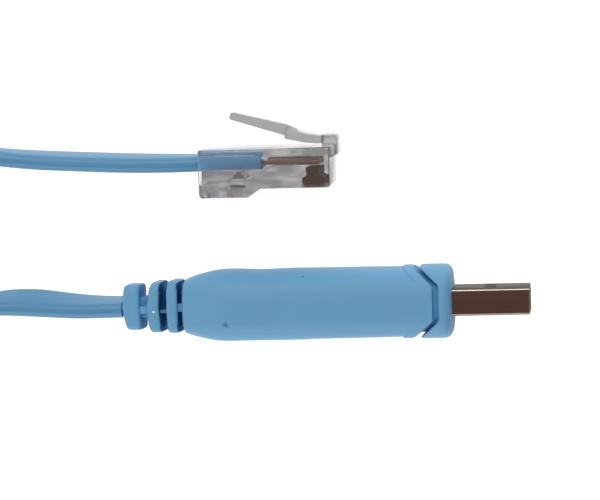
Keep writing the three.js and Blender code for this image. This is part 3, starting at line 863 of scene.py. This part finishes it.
def moulding_stations():
    """Stations x, half thickness up and down and half width, from the rear to the collar's rim."""
    stations = through([Vector(station) for station in MOULDING_PROFILE], MOULDING_STEPS)
    body = Vector(MOULDING_PROFILE[-1][1:])
    collar = Vector(COLLAR)
    even = Vector((1, 1, 1))
    for ahead, rise in LAND_SHAPE:
        stations.append(Vector((LAND[0] + ahead, *(body + Vector((1, 1, 0)) * LAND_RISE * rise))))
    for x in (GROOVE[0] + GROOVE_WALL, GROOVE[1] - GROOVE_WALL):
        stations.append(Vector((x, *(body - even * GROOVE_DEPTH))))
    for x, inset in COLLAR_BACK:
        stations.append(Vector((x, *(collar - even * inset))))
    for i in range(RIM_STEPS + 1):
        turn = math.pi / 2 * i / RIM_STEPS
        x = -FACE_DOME - COLLAR_RIM * (1 - math.sin(turn))
        stations.append(Vector((x, *(collar - even * RIM_INSET * (1 - math.cos(turn))))))
    return stations


def moulding_body():
    """Body and collar, from the body's rear face to the middle of the collar's domed front."""
    rings = []
    for x, up, down, width in moulding_stations():
        outline = crowned(up, down, width, MOULDING_ROUNDNESS, MOULDING_SIDES)
        rings.append([(x + groove_draw(x, y), y, z) for y, z in outline])
    rim = rings[-1]
    for share in FACE_RINGS:
        rings.append([(-FACE_DOME * share ** 2, y * share, z * share) for x, y, z in rim])
    return skin(rings)


def rib(rear, front, half_thickness, half_width):
    """One rib: its faces are drawn out or leaned as three places across them say."""

    def face(places, y):
        top, middle, bottom = places
        end = top if y > 0 else bottom
        return middle + (end - middle) * min(1, abs(y) / half_thickness) ** RIB_BOW

    rings = []
    for along, inset in RIB_EDGES:
        edge = RIB_EDGE * inset
        thickness, width = half_thickness - edge, half_width - edge
        outline = crowned(thickness, thickness, width, RIB_ROUNDNESS, RIB_SIDES)
        rings.append([(face(rear, y) * (1 - along) + face(front, y) * along, y, z) for y, z in outline])
    for places, end in ((rear, 0), (front, -1)):
        flat = rings[end]
        for share in RIB_FACE_RINGS:
            ring = [(face(places, y * share), y * share, z * share) for x, y, z in flat]
            rings.insert(0 if end == 0 else len(rings), ring)
    return skin(rings)


def strain_relief():
    """Ribs, the narrower core in the slots between them, and the webs that join them."""
    shapes = [rib(*places) for places in RIBS]
    core_rear = RIBS[1][0][1] + CORE_OVERLAP
    neck_rear = RIBS[2][1][1] - CORE_OVERLAP
    for start, end, (thickness, width) in (
            (core_rear, MOULDING_PROFILE[1][0], SLOT_CORE),
            (neck_rear, core_rear + NECK_OVERLAP, NECK_CORE)):
        outline = crowned(thickness, thickness, width, RIB_ROUNDNESS, RIB_SIDES)
        shapes.append(skin([[(x, y, z) for y, z in outline] for x in (start, end)]))
    for rear, front, low, high, reach in WEBS:
        shapes.append(block((rear, low, -reach), (front, high, reach)))
    outward = Vector((0, 0, BEAD_RADIUS))
    shapes.append(rod(Vector(BEAD) - outward * 2, Vector(BEAD) + outward, BEAD_RADIUS))
    return shapes


def on_bead_highlight(centre, normal):
    """Whether a face belongs to the small bead of flash on the middle rib; it gets a painted highlight."""
    return (centre - Vector(BEAD)).length < BEAD_RADIUS * 1.5 and centre.z > BEAD[2] + BEAD_RADIUS / 4


def in_slot_painted_shade(centre, normal):
    """Whether a face lies in one of the two narrow slots, apart from the webs' near sides; these faces get
    painted shade.
    """
    side_on = abs(normal.x) > SLOT_FACING
    in_core = abs(centre.y) < SLOT_CORE[0] + SLOT_MARGIN and abs(centre.z) < SLOT_CORE[1] + SLOT_MARGIN
    return (side_on or in_core) and any(start < centre.x < end for start, end in SLOT_SPANS)


def in_groove_painted_shade(centre, normal):
    """Whether a face lies in the groove behind the collar or in the notch round the neck; these faces get
    painted shade.
    """
    drawn = centre.x + GROOVE_SLOPE * max(0, abs(centre.y) - GROOVE_FLAT_HALF)
    behind_collar = GROOVE[0] < drawn < GROOVE[1] and abs(normal.x) < GROOVE_FACING
    round_neck = NECK_SPAN[0] < centre.x < NECK_SPAN[1] and abs(centre.y) < NECK_REACH
    on_web = normal.z > WEB_FACING and centre.z > NECK_CORE[1] + WEB_RISE
    return behind_collar or (round_neck and not on_web)


class CABLE_OT_moulding(bpy.types.Operator):
    """USB plug's moulding: body, collar and ribbed strain relief in one"""

    bl_idname = "cable.moulding"
    bl_label = "USB moulding"

    def execute(self, context):
        settings = context.scene.cable_moulding
        piece = new_piece("usb_overmould", moulding_body())
        reach = COLLAR[2]
        rear, front, depth = LABEL_BOTTOM
        carve(piece, block((rear, -depth - CUT, -reach), (front, -depth, reach)))
        carve(piece, joined(*[
            rod(Vector(mark) - Vector(outward) * PIN_DEPTH, Vector(mark) + Vector(outward), PIN_RADIUS)
            for mark, outward in PIN_MARKS
        ]))
        carve(piece, joined(*strain_relief()), "UNION")
        smudge = (usb_frame() @ (Vector(SMUDGE) * MM), SMUDGE_RADIUS * MM)
        grain = settings.grain / MM
        finish = soft_pvc("Moulded PVC", settings.colour, shaded(settings.colour, 0.95), grain,
                          roughness=0.58, smudge=smudge)
        place(piece, usb_frame(), "cable", "moulding", finish, crease=38)
        for name, colour, roughness, chosen in (
                # Painted shade: a darker copy of the moulded PVC in the narrow slots
                ("Moulded PVC, painted shade in the slots", shaded(settings.colour, SLOT_PAINTED_SHADE), 0.7, in_slot_painted_shade),
                # Painted shade: a darker copy of the moulded PVC in the groove behind the collar and the
                # notch round the neck
                ("Moulded PVC, painted shade in the groove", shaded(settings.colour, GROOVE_PAINTED_SHADE), 0.7, in_groove_painted_shade),
                # Painted highlight: a pale copy of the moulded PVC on the bead
                ("Moulded PVC bead, painted highlight", settings.bead_highlight_colour, 0.4, on_bead_highlight)):
            refinish(piece, usb_frame(), soft_pvc(name, colour, colour, grain, roughness), chosen)
        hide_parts("usb_moulding")
        return {"FINISHED"}


class CABLE_OT_shell(bpy.types.Operator):
    """USB plug's folded shell, with its latch holes and seam"""

    bl_idname = "cable.shell"
    bl_label = "USB shell"

    def execute(self, context):
        half_y, half_z = SHELL[0] / 2, SHELL[1] / 2
        past = half_y + CUT
        outer, inner, lead = [
            rounded_rectangle(half_y, half_z, SHELL_CORNER, inset) for inset in (0, SHELL_WALL, SHELL_LEAD)
        ]
        stations = [
            (SHELL_BACK, inner), (SHELL_BACK, outer), (SHELL_FRONT - SHELL_LEAD, outer),
            (SHELL_FRONT, lead), (SHELL_FRONT, inner),
        ]
        rings = [[(x, y, z) for y, z in ring] for x, ring in stations]
        shell = new_piece("plated_shell", skin(rings, closed=True))
        near, far = SHELL_HOLE_SIDE
        for low, high in ((near, far), (-far, -near)):
            carve(shell, block((SHELL_HOLE[0], -past, low), (SHELL_HOLE[1], past, high)))
        seam = SHELL_SEAM / 2
        carve(shell, block((SHELL_BACK - CUT, -past, -seam), (SHELL_FRONT + CUT, -half_y + CUT, seam)))
        colour = context.scene.cable_moulding.shell_colour
        finish = nickel_plated_steel("Nickel-plated steel", colour, roughness=0.2)
        place(shell, usb_frame(), "cable", "shell", finish)
        # Painted shade: a darker copy of the nickel on the shell's broad sides
        broad = nickel_plated_steel(
            "Nickel-plated steel, painted shade on broad sides", shaded(colour, BROAD_PAINTED_SHADE), roughness=0.3)
        refinish(shell, usb_frame(), broad, lambda centre, normal: abs(normal.y) > BROAD_FACING)
        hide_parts("usb_shell")
        return {"FINISHED"}


class CABLE_OT_tongue(bpy.types.Operator):
    """Tongue in the shell with its rear block, and the four contacts on it"""

    bl_idname = "cable.tongue"
    bl_label = "USB tongue and contacts"

    def execute(self, context):
        settings = context.scene.cable_moulding
        low, high = TONGUE_HEIGHT
        rear, front = TONGUE_REACH
        back, rise = TONGUE_LEAD_LOW
        side = [(rear, low), (front - back, low), (front, low + rise), (front, high - TONGUE_LEAD_HIGH),
                (front - TONGUE_LEAD_HIGH, high), (rear, high)]
        half = TONGUE_HALF_WIDTH
        tongue = new_piece("contact_tongue", prism(side, -half, half))
        inside = SHELL[0] / 2 - SHELL_WALL - TONGUE_BLOCK_GAP
        carve(tongue, block((rear, -inside, -half), (TONGUE_BLOCK, inside, half)), "UNION")
        for middle in CONTACT_GROOVES:
            carve(tongue, block((CONTACT_SPAN[0], high - CONTACT_DEPTH, middle - CONTACT_HALF),
                                (CONTACT_SPAN[1], high + CUT, middle + CONTACT_HALF)))
        soften(tongue, TONGUE_EDGE)
        finish = rigid_thermoplastic("Moulded PBT", settings.tongue_colour, roughness=0.42)
        place(tongue, usb_frame(), "cable", "tongue", finish)
        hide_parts("usb_tongue")
        gold = gold_plated_contact("Gold-plated contact strip", context.scene.cable_plug.contact_colour)
        dress_contacts("usb", len(CONTACT_GROOVES), gold)
        return {"FINISHED"}


def dress_contacts(plug, count, material):
    """Give a plug's numbered contacts their finish and small round edges, with their meshes left alone."""
    for number in range(1, count + 1):
        node = frame["nodes"][f"{plug}_contact_{number}"]
        for slot in node.material_slots:
            slot.material = material
        modifier = node.modifiers.new("soften", "BEVEL")
        modifier.width = CONTACT_EDGE * MM
        modifier.segments = 2


# Modular plug

def blade_middle(number):
    """The Z of one blade's middle, counted from the far side."""
    return PLUG_MIDDLE + (number - (BLADES - 1) / 2) * BLADE_PITCH


def across_plug(outline, half_width):
    """An outline carried across the plug to both sides of its middle."""
    return prism(outline, PLUG_MIDDLE - half_width, PLUG_MIDDLE + half_width)


def plug_housing():
    """Clear housing: outside, cavity for the cord, blade slots and crimp windows.

    The jacket, conductors and blades lie tight in the plastic, so they have no gap round them.
    """
    piece = new_piece("clear_housing", prism(PLUG_SIDE, 0, PLUG_WIDTH))
    soften(piece, PLUG_EDGE, segments=3)
    nose = new_piece("nose", across_plug(PLUG_NOSE, NOSE_HALF_WIDTH))
    soften(nose, PLUG_EDGE, segments=3)
    carve(piece, nose, "UNION")
    carve(piece, prism(PLUG_CAVITY, CAVITY_WALL, PLUG_WIDTH - CAVITY_WALL))
    slots = [prism(BLADE_SLOT, z - SLOT_HALF, z + SLOT_HALF) for z in map(blade_middle, range(BLADES))]
    lowest = min(y for x, y in PLUG_SIDE) - CUT
    windows = [
        block((rear, lowest, CRIMP_INSET), (front, roof, PLUG_WIDTH - CRIMP_INSET))
        for rear, front, roof in WINDOWS
    ]
    carve(piece, joined(*slots, *windows))
    carve(piece, prism(CRIMP_BAR, CRIMP_BAR_INSET, PLUG_WIDTH - CRIMP_BAR_INSET), "UNION")
    return piece


def in_painted_underside_shade(centre, normal):
    """Whether a face of the housing looks down at the floor, or forwards from the plug's front; these faces
    get painted shade.
    """
    under_nose = PLUG_MIDDLE - NOSE_HALF_WIDTH + NOSE_MARGIN
    looks_down = normal.z < -DOWN_FACING and centre.z < under_nose
    return looks_down or (normal.x > FRONT_FACING and centre.x > PLUG_NOSE[0][0])


class CABLE_OT_housing(bpy.types.Operator):
    """Clear housing of the modular plug"""

    bl_idname = "cable.housing"
    bl_label = "Plug housing"

    def execute(self, context):
        plug = context.scene.cable_plug
        piece = plug_housing()
        finish = moulded_polycarbonate("Clear polycarbonate", plug.colour)
        place(piece, plug_frame(), "cable", "clear_plug", finish, crease=30)
        # Painted shade: a darker, mottled copy of the clear polycarbonate on the underside and front
        underside = moulded_polycarbonate("Clear polycarbonate, painted shade on underside and front", plug.shade, plug.shade_cast)
        refinish(piece, plug_frame(), underside, in_painted_underside_shade)
        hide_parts("rj45_body")
        return {"FINISHED"}


def densified(outline, spacing):
    """An outline with points added so that no side is longer than the spacing."""
    dense = []
    for start, end in zip(outline, outline[1:] + outline[:1]):
        steps = max(1, math.ceil(math.dist(start, end) / spacing))
        for i in range(steps):
            share = i / steps
            dense.append(tuple(a + (b - a) * share for a, b in zip(start, end)))
    return dense


class CABLE_OT_latch(bpy.types.Operator):
    """Clear latch, joined to the plug's nose by a thin strip"""

    bl_idname = "cable.latch"
    bl_label = "Plug latch"

    def execute(self, context):
        strip = densified(LATCH_STRIP, LATCH_SPACING)
        piece = new_piece("clear_latch", across_plug(strip, LATCH_HALF_WIDTH))
        carve(piece, across_plug(LATCH_LEVER, LEVER_HALF_WIDTH), "UNION")
        soften(piece, LATCH_EDGE, segments=3)
        finish = moulded_polycarbonate("Clear polycarbonate latch", context.scene.cable_plug.latch_colour)
        place(piece, plug_frame(), None, "clear_plug", finish, crease=30)
        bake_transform(piece)
        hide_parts("rj45_latch")
        return {"FINISHED"}


class CABLE_OT_contacts(bpy.types.Operator):
    """Eight plated blades in the modular plug"""

    bl_idname = "cable.contacts"
    bl_label = "Plug contacts"

    def execute(self, context):
        # Painted shade: the blades' gold is a darkened copy of the contacts' gold
        gold = gold_plated_contact("Gold-plated blade, painted shade", context.scene.cable_plug.blade_shaded_colour)
        dress_contacts("rj45", BLADES, gold)
        return {"FINISHED"}


def conductor(number):
    """One conductor: it leaves the cord close to its neighbours and spreads to its own channel."""
    row = number - (BLADES - 1) / 2
    rings = []
    for i in range(WIRE_STATIONS + 1):
        x = WIRE_SPAN[0] + (WIRE_SPAN[1] - WIRE_SPAN[0]) * i / WIRE_STATIONS
        spread = smooth_step((x - WIRE_SPREAD[0]) / (WIRE_SPREAD[1] - WIRE_SPREAD[0]))
        z = PLUG_MIDDLE + row * (WIRE_PITCH_IN_CORD + (BLADE_PITCH - WIRE_PITCH_IN_CORD) * spread)
        ring = arc((WIRE_DEPTH, z), WIRE_RADIUS, 0, 360, WIRE_SIDES)[:-1]
        rings.append([(x, y, z) for y, z in ring])
    return skin(rings)


class CABLE_OT_conductors(bpy.types.Operator):
    """Eight coloured conductors between the cord and the blades"""

    bl_idname = "cable.conductors"
    bl_label = "Conductors"

    def execute(self, context):
        for number, (colour, hex_colour) in enumerate(WIRES.items()):
            piece = new_piece(f"wire_{colour}", conductor(number))
            finish = rigid_thermoplastic(f"Wire insulation {colour}", linear(hex_colour), roughness=0.4)
            place(piece, plug_frame(), "cable", f"wire_{colour}", finish)
            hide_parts(f"conductor_{colour}")
        return {"FINISHED"}


class CABLE_OT_stage(bpy.types.Operator):
    """Pale floor, dim room and soft studio lights"""

    bl_idname = "cable.stage"
    bl_label = "Stage"

    def execute(self, context):
        stage = context.scene.cable_stage
        half = stage.floor_size / 2
        corners = [(-half, -half, 0), (half, -half, 0), (half, half, 0), (-half, half, 0)]
        floor = new_piece("floor", (corners, [[0, 1, 2, 3]]))
        floor.location.z = -FLOOR_DROP * MM
        floor.data.materials.append(matt_board("Painted board", stage.floor_colour, stage.floor_glow))
        world = bpy.data.worlds.new("Dim room")
        world.use_nodes = True
        backdrop = world.node_tree.nodes["Background"]
        backdrop.inputs["Color"].default_value = opaque(stage.room_colour)
        backdrop.inputs["Strength"].default_value = stage.room_strength
        context.scene.world = world
        context.scene.view_settings.view_transform = "Standard"
        for light in LIGHTS:
            add_softbox(*light)
        return {"FINISHED"}


SETTINGS = {
    "cable_cord": CordSettings,
    "cable_moulding": MouldingSettings,
    "cable_plug": PlugSettings,
    "cable_stage": StageSettings,
}
OPERATORS = [
    CABLE_OT_camera, CABLE_OT_cord, CABLE_OT_moulding, CABLE_OT_shell, CABLE_OT_tongue, CABLE_OT_housing,
    CABLE_OT_latch, CABLE_OT_contacts, CABLE_OT_conductors, CABLE_OT_stage,
]


class CABLE_PT_parts(bpy.types.Panel):
    """The cable's pieces and the stage, in the order they are made"""

    bl_label = "Console cable"
    bl_idname = "CABLE_PT_parts"
    bl_space_type = "VIEW_3D"
    bl_region_type = "UI"
    bl_category = "Console cable"

    def draw(self, context):
        for operator in OPERATORS:
            self.layout.operator(operator.bl_idname)
        for name, settings in SETTINGS.items():
            box = self.layout.box()
            for value in settings.__annotations__:
                box.prop(getattr(context.scene, name), value)


def register():
    """Add the settings, operators and panel to Blender."""
    for name, settings in SETTINGS.items():
        bpy.utils.register_class(settings)
        setattr(bpy.types.Scene, name, bpy.props.PointerProperty(type=settings))
    for kind in (*OPERATORS, CABLE_PT_parts):
        bpy.utils.register_class(kind)


def unregister():
    """Take them out again."""
    for kind in (CABLE_PT_parts, *reversed(OPERATORS)):
        bpy.utils.unregister_class(kind)
    for name, settings in SETTINGS.items():
        delattr(bpy.types.Scene, name)
        bpy.utils.unregister_class(settings)


def main():
    """Make every piece in order."""
    register()
    for operator in OPERATORS:
        group, name = operator.bl_idname.split(".")
        getattr(getattr(bpy.ops, group), name)()


if __name__ == "__main__":
    main()
